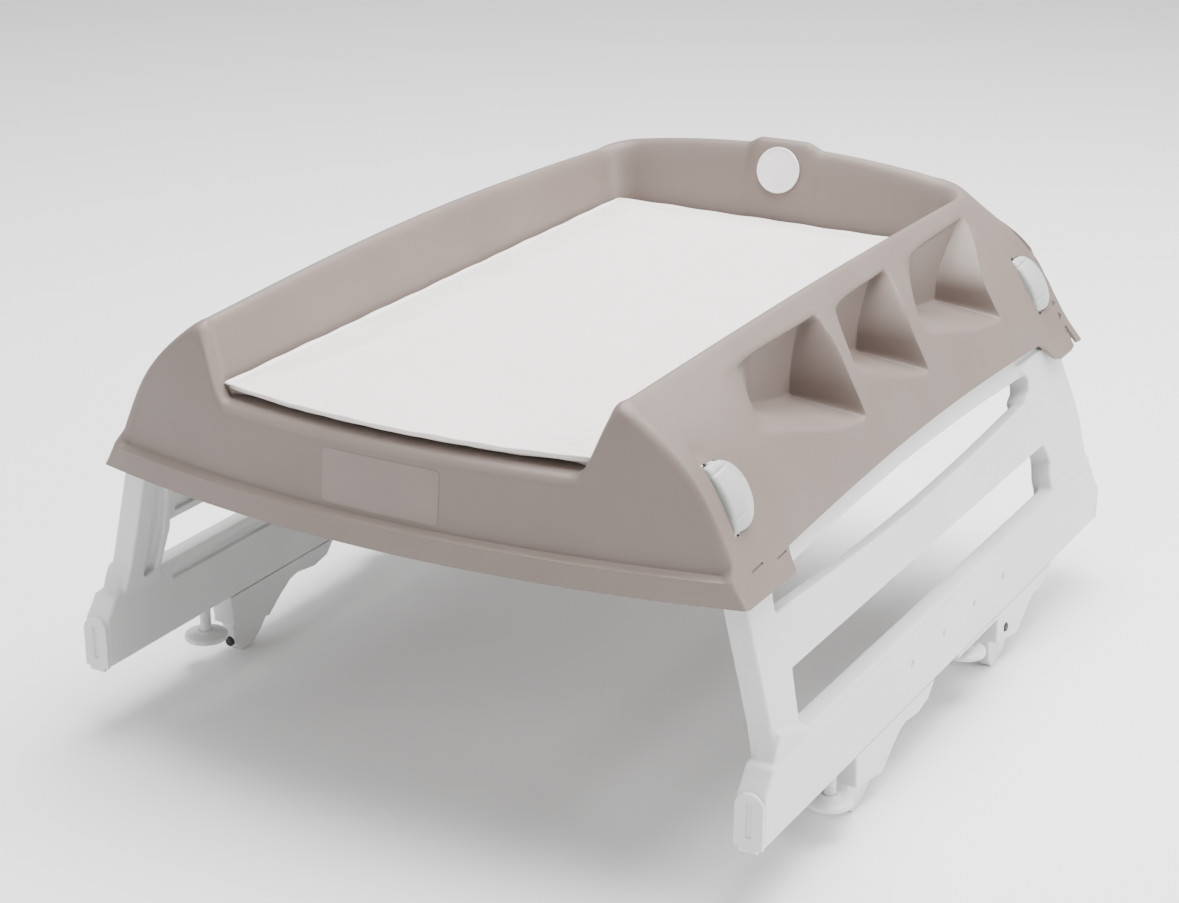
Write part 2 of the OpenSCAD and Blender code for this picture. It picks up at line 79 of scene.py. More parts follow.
def new_material(name):
    m = bpy.data.materials.new(name)
    m.use_nodes = True
    tree = m.node_tree
    return m, tree, tree.nodes["Principled BSDF"]


def link(tree, a, b):
    tree.links.new(a, b)


def varied_colour(tree, shader, low, high, scale, detail=4):
    """Slow, slight change of colour over the surface."""
    coords = tree.nodes.new("ShaderNodeTexCoord")
    noise = tree.nodes.new("ShaderNodeTexNoise")
    noise.inputs["Scale"].default_value = scale
    noise.inputs["Detail"].default_value = detail
    ramp = tree.nodes.new("ShaderNodeValToRGB")
    ramp.color_ramp.elements[0].position = 0.3
    ramp.color_ramp.elements[1].position = 0.7
    ramp.color_ramp.elements[0].color = (*low, 1)
    ramp.color_ramp.elements[1].color = (*high, 1)
    link(tree, coords.outputs["Object"], noise.inputs["Vector"])
    link(tree, noise.outputs["Fac"], ramp.inputs["Fac"])
    link(tree, ramp.outputs["Color"], shader.inputs["Base Color"])
    return coords


def grain(tree, shader, coords, scale, depth, second=None):
    """Fine moulded grain as bump, with an optional second, coarser texture."""
    noise = tree.nodes.new("ShaderNodeTexNoise")
    noise.inputs["Scale"].default_value = scale
    noise.inputs["Detail"].default_value = 6
    noise.inputs["Roughness"].default_value = 0.65
    bump = tree.nodes.new("ShaderNodeBump")
    bump.inputs["Strength"].default_value = 0.6
    bump.inputs["Distance"].default_value = depth
    link(tree, coords.outputs["Object"], noise.inputs["Vector"])
    link(tree, noise.outputs["Fac"], bump.inputs["Height"])
    link(tree, bump.outputs["Normal"], shader.inputs["Normal"])
    if second:
        coarse = tree.nodes.new("ShaderNodeTexNoise")
        coarse.inputs["Scale"].default_value = second[0]
        coarse.inputs["Detail"].default_value = 3
        wide = tree.nodes.new("ShaderNodeBump")
        wide.inputs["Strength"].default_value = 0.5
        wide.inputs["Distance"].default_value = second[1]
        link(tree, coords.outputs["Object"], coarse.inputs["Vector"])
        link(tree, coarse.outputs["Fac"], wide.inputs["Height"])
        link(tree, wide.outputs["Normal"], bump.inputs["Normal"])


def varied_roughness(tree, shader, coords, low, high, scale):
    noise = tree.nodes.new("ShaderNodeTexNoise")
    noise.inputs["Scale"].default_value = scale
    noise.inputs["Detail"].default_value = 5
    spread = tree.nodes.new("ShaderNodeMapRange")
    spread.inputs["From Min"].default_value = 0.35
    spread.inputs["From Max"].default_value = 0.65
    spread.inputs["To Min"].default_value = low
    spread.inputs["To Max"].default_value = high
    link(tree, coords.outputs["Object"], noise.inputs["Vector"])
    link(tree, noise.outputs["Fac"], spread.inputs["Value"])
    link(tree, spread.outputs["Result"], shader.inputs["Roughness"])


def taupe_plastic():
    m, tree, s = new_material("taupe moulding")
    coords = varied_colour(tree, s, (0.175, 0.136, 0.119), (0.19, 0.15, 0.132), 9)
    varied_roughness(tree, s, coords, 0.42, 0.52, 14)
    grain(tree, s, coords, 1500, 0.00006, (60, 0.0002))
    s.inputs["Specular IOR Level"].default_value = 0.45
    return m


def frosted_plastic():
    m, tree, s = new_material("frosted polypropylene")
    coords = varied_colour(tree, s, (0.58, 0.585, 0.58), (0.64, 0.645, 0.64), 6)
    varied_roughness(tree, s, coords, 0.3, 0.42, 18)
    grain(tree, s, coords, 1200, 0.00004, (35, 0.0003))
    s.inputs["Subsurface Weight"].default_value = 0.35
    s.inputs["Subsurface Radius"].default_value = (0.012, 0.012, 0.013)
    s.inputs["Subsurface Scale"].default_value = 0.6
    return m


def mat_film():
    m, tree, s = new_material("welded mat film")
    coords = varied_colour(tree, s, (0.88, 0.81, 0.785), (0.91, 0.845, 0.82), 7)
    varied_roughness(tree, s, coords, 0.42, 0.55, 25)
    grain(tree, s, coords, 700, 0.00012, (16, 0.0012))
    s.inputs["Sheen Weight"].default_value = 0.12
    s.inputs["Subsurface Weight"].default_value = 0.1
    s.inputs["Subsurface Radius"].default_value = (0.004, 0.003, 0.003)
    return m


def button_plastic():
    m, tree, s = new_material("grey button plastic")
    coords = varied_colour(tree, s, (0.40, 0.425, 0.41), (0.44, 0.465, 0.45), 30)
    varied_roughness(tree, s, coords, 0.3, 0.4, 40)
    grain(tree, s, coords, 1500, 0.00004)
    return m


def rubber():
    m, tree, s = new_material("black rubber")
    coords = varied_colour(tree, s, (0.018, 0.018, 0.018), (0.035, 0.035, 0.036), 120)
    varied_roughness(tree, s, coords, 0.6, 0.8, 200)
    grain(tree, s, coords, 1800, 0.0001)
    return m


def bright_steel():
    m, tree, s = new_material("bright steel")
    coords = varied_colour(tree, s, (0.52, 0.53, 0.54), (0.62, 0.625, 0.63), 200)
    varied_roughness(tree, s, coords, 0.22, 0.36, 300)
    grain(tree, s, coords, 2500, 0.00002)
    s.inputs["Metallic"].default_value = 1.0
    return m


def glossy_white():
    m, tree, s = new_material("badge enamel")
    coords = varied_colour(tree, s, (0.86, 0.83, 0.83), (0.90, 0.875, 0.875), 40)
    varied_roughness(tree, s, coords, 0.1, 0.18, 60)
    s.inputs["Coat Weight"].default_value = 0.5
    s.inputs["Coat Roughness"].default_value = 0.06
    return m


def film_plastic():
    m, tree, s = new_material("label film")
    coords = varied_colour(tree, s, (0.19, 0.15, 0.132), (0.205, 0.162, 0.143), 25)
    varied_roughness(tree, s, coords, 0.34, 0.4, 90)
    grain(tree, s, coords, 900, 0.00003)
    s.inputs["Coat Weight"].default_value = 0.1
    s.inputs["Coat Roughness"].default_value = 0.3
    return m


MATERIALS = {
    "taupe_shell": taupe_plastic(),
    "mat_cover": mat_film(),
    "frost_plastic": frosted_plastic(),
    "button_grey": button_plastic(),
    "black_rubber": rubber(),
    "steel": bright_steel(),
    "badge_white": glossy_white(),
    "label_film": film_plastic(),
}
BODY_OF = {node: body for body, nodes in frame["record"]["behaviour"]["bodies"].items() for node in nodes}
SLOT_OF = {p["node"]: p["material_slot"] for p in frame["record"]["subparts"]}

# ---------------------------------------------------------------- mesh helpers


def as_object(name, points, faces, smooth=True):
    """Mesh object from metre points and faces, with its normals outward."""
    mesh = bpy.data.meshes.new(name)
    mesh.from_pydata([tuple(map(float, p)) for p in points], [], [list(map(int, f)) for f in faces])
    bm = bmesh.new()
    bm.from_mesh(mesh)
    bmesh.ops.recalc_face_normals(bm, faces=bm.faces)
    bm.to_mesh(mesh)
    bm.free()
    mesh.polygons.foreach_set("use_smooth", [smooth] * len(mesh.polygons))
    obj = bpy.data.objects.new(name, mesh)
    bpy.context.scene.collection.objects.link(obj)
    return obj


def apply_modifiers(obj):
    bpy.context.view_layer.update()
    deps = bpy.context.evaluated_depsgraph_get()
    mesh = bpy.data.meshes.new_from_object(obj.evaluated_get(deps), depsgraph=deps)
    old = obj.data
    obj.modifiers.clear()
    obj.data = mesh
    bpy.data.meshes.remove(old)
    return obj


def remove(obj):
    mesh = obj.data
    bpy.data.objects.remove(obj)
    bpy.data.meshes.remove(mesh)


def cut(obj, cutters, operation="DIFFERENCE"):
    for c in cutters:
        m = obj.modifiers.new("cut", "BOOLEAN")
        m.operation = operation
        m.solver = "MANIFOLD"
        m.object = c
    apply_modifiers(obj)
    for c in cutters:
        remove(c)
    return obj


def shade_by_angle(obj, degrees):
    """Smooth shading, with edges sharper than this angle left crisp."""
    mesh = obj.data
    mesh.polygons.foreach_set("use_smooth", [True] * len(mesh.polygons))
    bm = bmesh.new()
    bm.from_mesh(mesh)
    limit = math.radians(degrees)
    for e in bm.edges:
        e.smooth = not (len(e.link_faces) == 2 and e.calc_face_angle(0) > limit)
    bm.to_mesh(mesh)
    bm.free()


def soften(obj, voxel, passes, keep=0.35):
    """Joins overlapping shells and rounds every edge like a moulding, then thins the flat areas."""
    m = obj.modifiers.new("join", "REMESH")
    m.mode = "VOXEL"
    m.voxel_size = voxel * MM
    m.use_smooth_shade = True
    s = obj.modifiers.new("round", "SMOOTH")
    s.factor = 0.5
    s.iterations = passes
    d = obj.modifiers.new("thin", "DECIMATE")
    d.ratio = keep
    apply_modifiers(obj)
    obj.data.polygons.foreach_set("use_smooth", [True] * len(obj.data.polygons))
    return obj


def finish_piece(obj, body, slot, *nodes):
    obj.data.materials.clear()
    obj.data.materials.append(MATERIALS[slot])
    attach(obj, body)
    if nodes:
        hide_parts(*nodes)
    return obj


def stands_for(obj, node):
    return finish_piece(obj, BODY_OF[node], SLOT_OF[node], node)


def grid_faces(rows, cols, closed_cols=False, start=0):
    faces = []
    for r in range(rows - 1):
        for c in range(cols if closed_cols else cols - 1):
            d = (c + 1) % cols
            a, b = start + r * cols, start + (r + 1) * cols
            faces.append((a + c, a + d, b + d, b + c))
    return faces


def two_skins(name, front, back, rows, cols):
    """Closed sheet between two grids of points, and the indices round the first grid's border."""
    size = rows * cols
    grid = grid_faces(rows, cols)
    faces = grid + [tuple(reversed([size + i for i in f])) for f in grid]
    border = list(range(cols)) + [r * cols + cols - 1 for r in range(1, rows)]
    border += [(rows - 1) * cols + c for c in range(cols - 2, -1, -1)]
    border += [r * cols for r in range(rows - 2, 0, -1)]
    for a, b in zip(border, border[1:] + border[:1]):
        faces.append((a, b, size + b, size + a))
    return as_object(name, placed(np.vstack([front, back])), faces), border


def circle(u, v, radius, count):
    angles = np.linspace(0, 2 * math.pi, count, endpoint=False)
    return [(u + radius * math.cos(a), v + radius * math.sin(a)) for a in angles]


def prism(outline, axis_points, name="prism"):
    """Closed prism from a list of 3-D outline points and the vector that it runs along."""
    a = np.asarray(outline, float)
    b = a + np.asarray(axis_points, float)
    n = len(a)
    faces = [tuple(range(n)), tuple(range(2 * n - 1, n - 1, -1))]
    faces += [(i, (i + 1) % n, n + (i + 1) % n, n + i) for i in range(n)]
    return as_object(name, placed(np.vstack([a, b])), faces, smooth=False)


def filleted(points, radii, steps=6):
    """Polygon whose corners are replaced by arcs."""
    out = []
    n = len(points)
    radii = [radii] * n if np.isscalar(radii) else radii
    for i, r in enumerate(radii):
        p = np.array(points[i], float)
        a = np.array(points[i - 1], float) - p
        b = np.array(points[(i + 1) % n], float) - p
        la, lb = np.linalg.norm(a), np.linalg.norm(b)
        a, b = a / la, b / lb
        angle = math.acos(np.clip(a @ b, -1, 1))
        if r <= 0 or angle > math.radians(176):
            out.append(tuple(p))
            continue
        reach = min(r / math.tan(angle / 2), 0.48 * la, 0.48 * lb)
        start, end = p + a * reach, p + b * reach
        for k in range(steps + 1):
            t = k / steps
            out.append(tuple((1 - t) ** 2 * start + 2 * t * (1 - t) * p + t * t * end))
    return out


def lathe(name, profile, turns=72, at=Matrix.Identity(4)):
    """Turned piece from (radius, height) pairs in millimetres, closed on its axis."""
    angles = np.linspace(0, 2 * math.pi, turns, endpoint=False)
    points = [(0, 0, profile[0][1])]
    for r, z in profile:
        points += [(r * math.cos(a), r * math.sin(a), z) for a in angles]
    points.append((0, 0, profile[-1][1]))
    faces = grid_faces(len(profile), turns, True, 1)
    last = len(points) - 1
    for c in range(turns):
        faces.append((0, 1 + (c + 1) % turns, 1 + c))
        faces.append((last, last - turns + c, last - turns + (c + 1) % turns))
    obj = as_object(name, np.array(points) * MM, faces)
    obj.data.transform(at)
    shade_by_angle(obj, 40)
    return obj


def copy_of(node, name):
    obj = bpy.data.objects.new(name, frame["nodes"][node].data.copy())
    bpy.context.scene.collection.objects.link(obj)
    bm = bmesh.new()
    bm.from_mesh(obj.data)
    bmesh.ops.remove_doubles(bm, verts=bm.verts, dist=1e-6)
    bm.to_mesh(obj.data)
    bm.free()
    return obj


def edged(node, name, width, segments=3):
    """The CAD node's own shape with its edges rounded."""
    obj = copy_of(node, name)
    bm = bmesh.new()
    bm.from_mesh(obj.data)
    bmesh.ops.dissolve_limit(bm, angle_limit=math.radians(0.5), verts=bm.verts, edges=bm.edges)
    bm.to_mesh(obj.data)
    bm.free()
    b = obj.modifiers.new("edge", "BEVEL")
    b.width = width * MM
    b.segments = segments
    b.limit_method = "ANGLE"
    b.angle_limit = math.radians(35)
    apply_modifiers(obj)
    shade_by_angle(obj, 32)
    return stands_for(obj, node)


# ---------------------------------------------------------------- tray shell

SHELL_HW, CREST_HW, DECK_HW = 347, 224, 199
RIM_Z, CREST_Z, DECK_Z, BACK_Z = 214, 378, 310, 402
FRONT_Y, FRONT_BOW, REAR_Y, WALL = 17, 47, 856, 3
POCKET_X, POCKET_TOP = 236, 367
POCKETS = ((142, 352, 322, 286), (366, 524, 318, 285), (541, 753, 310, 281))
LEAN_Y, TAIL_Y = 60, 753
BUTTON_Y = {"front": 46.5, "rear": 786}


def swell(y):
    return np.sin(math.pi * np.clip((y - 40) / 740, 0, 1))


def crest(y):
    return CREST_Z + 9 * swell(y)


def rear_notches(y):
    """Small cut-outs along the shell's rear feet."""
    return 16 * ease(826, 829, y) * ease(838, 835, y) - 4 * ease(776, 786, y) * ease(826, 818, y)


def skirt(y):
    step = 20 * ease(112, 118.5, y) * ease(775, 749, y)
    return RIM_Z + step + 9 * np.sin(math.pi * np.clip((y - 119) / 631, 0, 1)) + rear_notches(y)


def panel_x(y, z):
    t = np.clip((z - RIM_Z) / (crest(y) - RIM_Z), 0, 1)
    bulge = mix(22, 10, np.clip((y - 60) / 740, 0, 1))
    return mix(SHELL_HW, CREST_HW + 7 * swell(y), t) + bulge * np.sin(math.pi * t ** 1.5)


def ring_z(v, y):
    """Height of an outer ring, which dips a little at the rear buttons."""
    v = v - 0.06 * math.sin(math.pi * v) * ease(700, 780, y)
    return mix(skirt(y), crest(y), v)


def leant(s, v):
    """The side's stations lean forward, down the pockets' rear ends."""
    reach = LEAN_Y * np.clip((s - 142) / 611, 0, None) * ease(786, TAIL_Y, s)
    return s - reach * ease(1, 0.45, v) * ease(0, 0.3, v)


def in_pocket(p, s, z):
    """Depth of a pocket, from 0 to 1, at a station of the side."""
    floor = mix(p[2], p[3], ease(p[0], p[1], s))
    return (ease(p[0], mix(p[0], p[1], 0.5), s) * ease(p[1] + 1, p[1] - 9, s)
            * ease(0, 13, z - floor + 6) * ease(POCKET_TOP + 3, POCKET_TOP - 8, z))


def thumb_dips(y, v):
    """Shallow dips in the panel, above the buttons' flat sides."""
    dips = [np.exp(-((y - place - 3) / 10) ** 2 - ((v - 0.71) / 0.045) ** 2) for place in BUTTON_Y.values()]
    return 3.0 * np.sum(dips, axis=0)


def side_points(s, v):
    y = leant(s, v)
    z = ring_z(v, y)
    x = panel_x(y, z) - thumb_dips(y, v)
    dent = np.max([in_pocket(p, s, z) for p in POCKETS], axis=0)
    return np.stack([x - np.maximum(0, x - POCKET_X) * dent, y, z], 1)


def boss(x):
    return ease(48, 28, np.abs(x))


def front_top(x):
    return mix(DECK_Z, crest(np.array(50.0)), ease(186, 222, x))


def face_y(x, z):
    h = np.clip(12 - (front_top(x) - z), 0, 12)
    lip = 12 - np.sqrt(144 - h * h)
    wall = 11 + 0.1 * (z - RIM_Z - 26) + lip
    bead = (z - RIM_Z) / 12
    return FRONT_Y - FRONT_BOW * (1 - (x / SHELL_HW) ** 2) + mix(bead, wall, ease(22, 25.6, z - RIM_Z))


def back_low(x):
    return RIM_Z - 1 + 39 * ease(325, 290, x)


def back_top(x):
    return BACK_Z - 22 * (x / CREST_HW) ** 2 + 8 * boss(x)


def back_y(z):
    return REAR_Y - 46 * (z - RIM_Z) / (BACK_Z - RIM_Z)


def rear_r(z):
    return mix(8, 40, ease(310, CREST_Z, z))


def front_z(v, x):
    low = np.interp(v, (0, 0.07, 0.14, 0.25), (0, 12, 22, 26))
    return RIM_Z + low if v < 0.25 else mix(RIM_Z + 26, front_top(x), (v - 0.25) / 0.75)


FRONT_STEPS, CORNER_STEPS, REAR_STEPS, BACK_STEPS, LEAD_STEPS, TAIL_STEPS = 70, 10, 14, 60, 8, 26
PANEL_FRONT = 45.0
SIDE_STATIONS = np.concatenate(
    [np.linspace(PANEL_FRONT, 339, 100)[:-1], np.linspace(339, 356, 16)[:-1], np.linspace(356, 511, 54)[:-1],
     np.linspace(511, 528, 16)[:-1], np.linspace(528, 739, 72)[:-1], np.linspace(739, TAIL_Y, 14)])


def corner_r(v):
    return 8 + 7 * float(ease(0.55, 1, v))


def quarter(steps):
    return np.linspace(0, math.pi / 2, steps + 2)[1:-1]


def outer_half(v):
    """Outer ring at a share v of the height, from the middle of the front to the middle of the back."""
    z0 = float(ring_z(v, PANEL_FRONT))
    r = corner_r(v)
    xc = float(panel_x(PANEL_FRONT, z0)) - r
    xs = np.linspace(0, xc, FRONT_STEPS)
    zs = front_z(v, xs) * np.ones_like(xs)
    ring = [np.stack([xs, face_y(xs, zs), zs], 1)]
    yf = ring[0][-1][1]
    a = quarter(CORNER_STEPS)
    xs = xc + r * np.sin(a)
    zs = mix(front_z(v, xs), z0, ease(0, math.pi / 2, a))
    ring.append(np.stack([xs, yf + r - r * np.cos(a), zs], 1))
    ys = np.linspace(yf + r, PANEL_FRONT, LEAD_STEPS)[:-1]
    ring.append(np.stack([np.full_like(ys, xc + r), ys, ring_z(v, ys)], 1))
    ring.append(side_points(SIDE_STATIONS, v))
    zr = mix(float(skirt(800.0)), float(crest(800.0)), v)
    r = rear_r(zr)
    yr = back_y(zr)
    ys = np.linspace(TAIL_Y, yr - r, TAIL_STEPS)[1:]
    zs = ring_z(v, ys)
    ring.append(np.stack([panel_x(ys, zs), ys, zs], 1))
    xb = float(panel_x(yr - r, zs[-1])) - r
    a = np.linspace(0, math.pi / 2, REAR_STEPS + 2)[1:]
    zb = mix(back_low(xb), back_top(xb), v)
    ring.append(np.stack([xb + r * np.cos(a), yr - r + r * np.sin(a), mix(zs[-1], zb, a / (math.pi / 2))], 1))
    xs = np.linspace(xb, 0, BACK_STEPS)[1:]
    zs = mix(back_low(xs), back_top(xs), v)
    ring.append(np.stack([xs, back_y(np.minimum(zs, BACK_Z)), zs], 1))
    return np.vstack(ring)


def inner_half(d, n):
    """Inner ring, a share d of the way down to the deck and a share n of the way in."""
    x0 = mix(CREST_HW, DECK_HW, n)
    r = corner_r(1)
    xc = x0 - r
    xs = np.linspace(0, xc, FRONT_STEPS)
    top = front_top(xs)
    ring = [np.stack([xs, face_y(xs, top) + 10 * n, mix(top, DECK_Z, d)], 1)]
    yf = ring[0][-1][1]
    a = quarter(CORNER_STEPS)
    xs = xc + r * np.sin(a)
    top = mix(front_top(xs), crest(PANEL_FRONT), ease(0, math.pi / 2, a))
    ring.append(np.stack([xs, yf + r - r * np.cos(a), mix(top, DECK_Z, d)], 1))
    ys = np.linspace(yf + r, PANEL_FRONT, LEAD_STEPS)[:-1]
    ring.append(np.stack([np.full_like(ys, x0), ys, mix(crest(ys), DECK_Z, d)], 1))
    r = mix(40, 20, n)
    yr = mix(back_y(BACK_Z), 774, n)
    ys = np.concatenate([SIDE_STATIONS, np.linspace(TAIL_Y, yr - r, TAIL_STEPS)[1:]])
    ring.append(np.stack([x0 + 7 * swell(ys) * (1 - n), ys, mix(crest(ys), DECK_Z, d)], 1))
    xb = x0 - r
    a = np.linspace(0, math.pi / 2, REAR_STEPS + 2)[1:]
    top = mix(crest(800.0), back_top(xb), a / (math.pi / 2))
    ring.append(np.stack([xb + r * np.cos(a), yr - r + r * np.sin(a), mix(top, DECK_Z, d)], 1))
    xs = np.linspace(xb, 0, BACK_STEPS)[1:]
    ring.append(np.stack([xs, yr - 6 * boss(xs) * (1 - n), mix(back_top(xs), DECK_Z, d)], 1))
    return np.vstack(ring)


def smoothed_rings(rings, first, last, passes):
    for _ in range(passes):
        middle = (rings[first - 1:last - 1] + 2 * rings[first:last] + rings[first + 1:last + 1]) / 4
        rings[first:last] = middle
    return rings


def whole_ring(half):
    back = half[-2:0:-1].copy()
    back[:, 0] *= -1
    return np.vstack([half, back])


def panel_frame(end):
    """Origin and axes of a panel fitting on the right side: along the table, up the slope, outward."""
    y = float(BUTTON_Y[end])
    z1, z2 = float(ring_z(0.315, y)), float(ring_z(0.685, y))
    slope = math.atan2(float(panel_x(y, z1) - panel_x(y, z2)), z2 - z1)
    z = (z1 + z2) / 2
    c, s = math.cos(slope), math.sin(slope)
    origin = np.array([float(panel_x(y, z)), y, z])
    return origin, np.array([0, 1, 0]), np.array([-s, 0, c]), np.array([c, 0, s])


def on_panel(end, side, local):
    o, u, v, w = panel_frame(end)
    p = np.asarray(local, float)
    world = o + p[:, :1] * u + p[:, 1:2] * v + p[:, 2:3] * w
    world[:, 0] *= side
    return world


BUTTON_R, BUTTON_W = 32, 43


def button_opening(end, side):
    """Cutter for a button's opening: the half moon with a slot at each end of its flat side."""
    r, c = BUTTON_R + 0.9, BUTTON_W - BUTTON_R
    top = math.acos((5.5 - c) / r)
    arc = [(c + r * math.cos(a), r * math.sin(a)) for a in np.linspace(-top, top, 48)]
    outline = arc + [(5.5, 34.3), (-1.1, 34.3), (-1.1, -34.3), (5.5, -34.3)]
    low = on_panel(end, side, [(x, y, -14) for x, y in outline])
    high = on_panel(end, side, [(x, y, 14) for x, y in outline])
    return prism(low, high - low, "opening")


def panel_slot(side, y0, y1, z):
    """Cutter for a slim marked slot near the lower front corner."""
    x = float(panel_x((y0 + y1) / 2, z))
    outline = filleted([(y0, z - 1.3), (y1, z - 0.2), (y1, z + 2.2), (y0, z + 1.1)], 1.1, 4)
    low = np.array([(side * (x - 1.6), y, h) for y, h in outline])
    return prism(low, (side * 6, 0, 0), "slot")


def tray_moulding():
    v_list = np.concatenate([np.linspace(0, 0.13, 8)[:-1], np.linspace(0.13, 0.27, 12)[:-1],
                             np.linspace(0.27, 0.93, 74)[:-1], np.linspace(0.93, 1, 9)])
    rings = [outer_half(v) for v in v_list]
    outer = len(rings)
    share_down = (0, 0.02, 0.08, 0.2, 0.35, 0.52, 0.7, 0.84, 0.93, 0.98, 1)
    share_in = (0, 0.12, 0.3, 0.41, 0.5, 0.62, 0.76, 0.855, 0.92, 0.965, 1)
    for t in np.linspace(0, 1, 34)[1:]:
        k = t * (len(share_down) - 1)
        index = range(len(share_down))
        rings.append(inner_half(np.interp(k, index, share_down), np.interp(k, index, share_in)))
    rings = np.stack(rings)
    smoothed_rings(rings, 22, outer, 2)
    smoothed_rings(rings, outer - 10, len(rings) - 1, 9)
    flat = rings[-1].copy()
    for inset in (0.985, 0.95):
        ring = flat.copy()
        ring[:, 0] *= inset
        ring[:, 1] = mix(380, ring[:, 1], inset)
        rings = np.concatenate([rings, ring[None]])
    skin = np.stack([whole_ring(r) for r in rings])
    rows, cols = skin.shape[:2]
    along = np.roll(skin, -1, 1) - np.roll(skin, 1, 1)
    up = np.gradient(skin, axis=0)
    normal = np.cross(along, up)
    normal /= np.maximum(np.linalg.norm(normal, axis=2, keepdims=True), 1e-9)
    under = skin - WALL * normal
    under[-1, :, 2] = DECK_Z - WALL
    points = np.vstack([skin.reshape(-1, 3), under.reshape(-1, 3)])
    size = rows * cols
    faces = grid_faces(rows, cols, True) + grid_faces(rows, cols, True, size)
    faces += [(c, (c + 1) % cols, size + (c + 1) % cols, size + c) for c in range(cols)]
    for base in (size - cols, 2 * size - cols):
        for j in range(cols // 2):
            a, b, c, d = j, j + 1, (cols - j - 1) % cols, (cols - j) % cols
            faces.append([base + i for i in dict.fromkeys((a, b, c, d))])
    shell = as_object("tray_moulding", placed(points), faces)
    cutters = [button_opening(e, s) for e in ENDS for _, s in SIDES]
    cutters += [panel_slot(s, y0, y1, z) for _, s in SIDES for y0, y1, z in ((49, 70, 235), (94, 112, 231))]
    cut(shell, cutters)
    shade_by_angle(shell, 38)
    return stands_for(shell, "tray_shell")


# ---------------------------------------------------------------- buttons


def button_height(x, y, edge):
    """Domed top of a button, lower at its flat side, with a rounded rim, a thumb dish and two grooves."""
    c = BUTTON_W - BUTTON_R
    dome = 11 - 78 + np.sqrt(78 ** 2 - (x - c) ** 2 - y ** 2)
    rim = np.clip(3.2 - edge, 0, 3.2)
    dome -= 3.2 - np.sqrt(3.2 ** 2 - rim ** 2)
    dome -= 0.9 * ease(4, 10, edge) + 4.5 * ease(20, 0, x)
    for at in (-20.5, 21.5):
        dome -= 1.3 * np.exp(-((y - at - 0.16 * x) / 1.1) ** 2) * ease(30, 22, x)
    return dome


def release_button(end, side_name, side):
    c = BUTTON_W - BUTTON_R
    half = math.sqrt(BUTTON_R ** 2 - c ** 2)
    top = math.atan2(half, -c)
    arc = [(c + BUTTON_R * math.cos(a), BUTTON_R * math.sin(a)) for a in np.linspace(-top, top, 150)]
    flat = [(0, y) for y in np.linspace(half, -half, 64)[1:-1]]
    outline = np.array(arc + flat)
    centre = np.array([16.0, 0.0])
    shares = np.sin(np.linspace(0, math.pi / 2, 44))[1:]
    points, cols = [(*centre, 0.0)], len(outline)
    for share in shares:
        p = centre + share * (outline - centre)
        points += [(*q, 0.0) for q in p]
    points = np.array(points)
    x, y = points[:, 0], points[:, 1]
    edge = np.minimum(BUTTON_R - np.hypot(x - c, y), x)
    points[:, 2] = button_height(x, y, np.maximum(edge, 0))
    skirt_ring = np.column_stack([outline, np.full(cols, -7.8)])
    points = np.vstack([points, skirt_ring])
    rows = len(shares) + 1
    faces = grid_faces(rows, cols, True, 1)
    faces += [(0, 1 + (j + 1) % cols, 1 + j) for j in range(cols)]
    faces.append(tuple(range(len(points) - 1, len(points) - 1 - cols, -1)))
    node = f"{end}_button_{side_name}"
    obj = as_object(f"{end}_half_moon_{side_name}", placed(on_panel(end, side, points)), faces)
    shade_by_angle(obj, 50)
    return stands_for(obj, node)


def coil_spring(end, side_name, side):
    """Open coil between a button and its seat."""
    turns, wire, mean_r, low, high = 5, 0.55, 4.2, -15.0, -8.9
    steps, ring = turns * 28, 10
    points = []
    for k in range(steps + 1):
        a = 2 * math.pi * turns * k / steps
        rise = mix(low, high, ease(0, 1, k / steps) * 0.35 + 0.65 * k / steps)
        for j in range(ring):
            b = 2 * math.pi * j / ring
            r = mean_r + wire * math.cos(b)
            points.append((18 + r * math.cos(a), r * math.sin(a), rise + wire * math.sin(b)))
    faces = grid_faces(steps + 1, ring, True)
    faces += [tuple(range(ring)), tuple(range(len(points) - 1, len(points) - 1 - ring, -1))]
    obj = as_object(f"{end}_coil_{side_name}", placed(on_panel(end, side, points)), faces)
    return stands_for(obj, f"{end}_spring_{side_name}")


# ---------------------------------------------------------------- mat

MAT_HW, MAT_T, MAT_REAR = 196, 19, 768


def mat_front(x):
    return 20 - 22 * (1 - (x / MAT_HW) ** 2)


